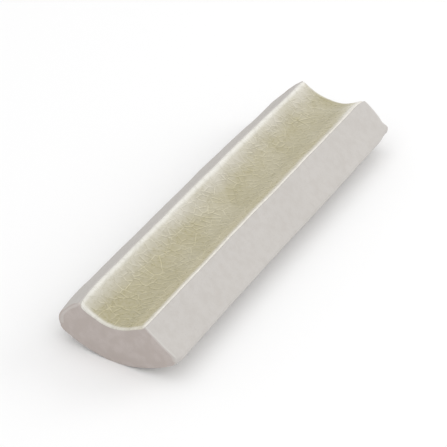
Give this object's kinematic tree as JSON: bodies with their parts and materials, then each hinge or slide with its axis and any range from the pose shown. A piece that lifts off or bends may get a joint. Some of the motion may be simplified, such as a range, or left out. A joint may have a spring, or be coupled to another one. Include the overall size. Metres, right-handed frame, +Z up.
{
  "type": "pool corner tile",
  "caption": "Straight ceramic cove trim with a concave crackle-glazed face, flat joint faces, square ends and a rounded bare back.",
  "frame": {"origin": "centre of the bounding box's underside, where the convex back touches the floor", "axes": "+Y along the tile, from the near end in the picture to the far end; +Z up, out of the glazed cove; +X to the right joint face"},
  "size_m": [0.036, 0.115, 0.0154],
  "materials": {
    "fired_body": "bare light greige bisque, matt and finely porous",
    "crackle_glaze": "celadon-olive crackle glaze, glossy, breaking to cream along its edges"
  },
  "bodies": {
    "root": {"cove_tile": "fired_body"}
  },
  "joints": []
}
